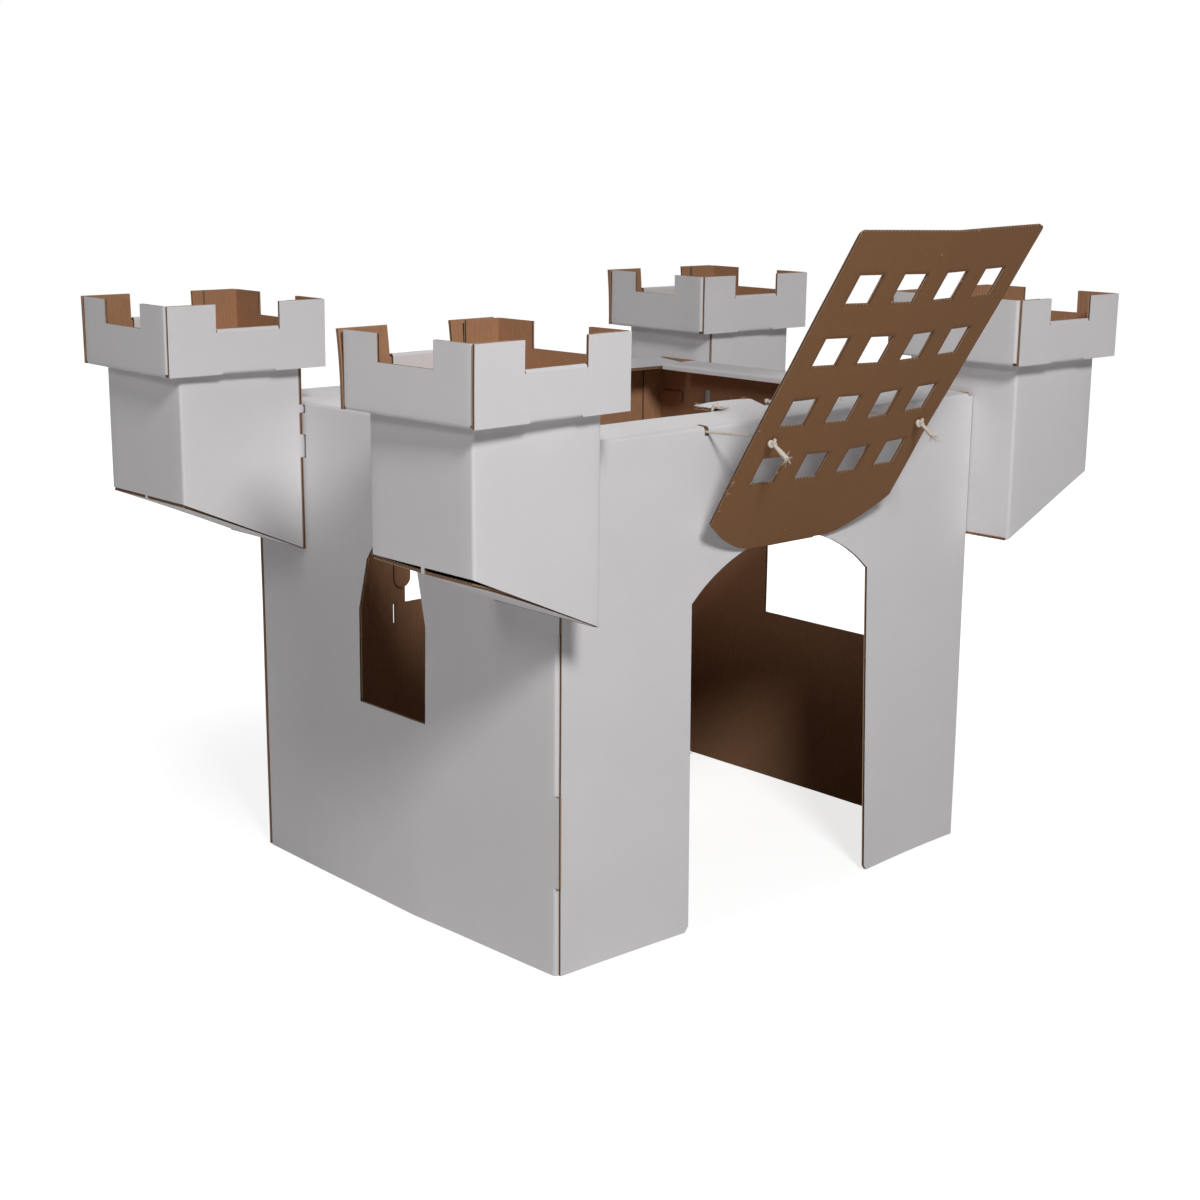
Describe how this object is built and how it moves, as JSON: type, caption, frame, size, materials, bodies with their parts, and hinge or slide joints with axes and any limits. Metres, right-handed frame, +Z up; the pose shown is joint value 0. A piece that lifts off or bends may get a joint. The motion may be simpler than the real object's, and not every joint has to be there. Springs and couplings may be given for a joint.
{
  "type": "cardboard play castle",
  "caption": "Open-topped play castle folded from corrugated board, with hung corner towers, crenellated trays and a lattice gate propped up on cords",
  "frame": {"origin": "the middle of the standing castle's footprint, on the floor", "axes": "+Z up, the gateway and its leaning gate face -Y, +X runs along the front wall to the right as seen from in front, so the pointed window is on -X"},
  "size_m": [1.546, 1.279, 1.1711],
  "materials": {
    "white_board": "matt white liner on corrugated board, brown on the inner face and at the raw edges",
    "kraft_board": "plain brown inner liner of the same board, with the flutes faintly showing",
    "cotton_cord": "natural twisted cotton"
  },
  "bodies": {
    "castle": {"front_wall": "white_board", "back_wall": "white_board", "left_wall": "white_board", "right_wall": "white_board", "tower_front_left": "white_board", "tower_front_right": "white_board", "tower_back_left": "white_board", "tower_back_right": "white_board", "crown_front_left": "white_board", "crown_front_right": "white_board", "crown_back_left": "white_board", "crown_back_right": "white_board", "cord_left": "cotton_cord", "cord_right": "cotton_cord", "tie_knot_left": "cotton_cord", "tie_knot_right": "cotton_cord"},
    "gate": {"gate_panel": "kraft_board", "gate_knot_left": "cotton_cord", "gate_knot_right": "cotton_cord"}
  },
  "joints": [
    {"name": "gate_swing", "type": "hinge", "parent": "castle", "child": "gate", "pos_m": [0, -0.3013, 0.639], "axis": [-1, 0, 0], "range_deg": [0, 26], "deforming": ["cord_left", "cord_right"]}
  ]
}
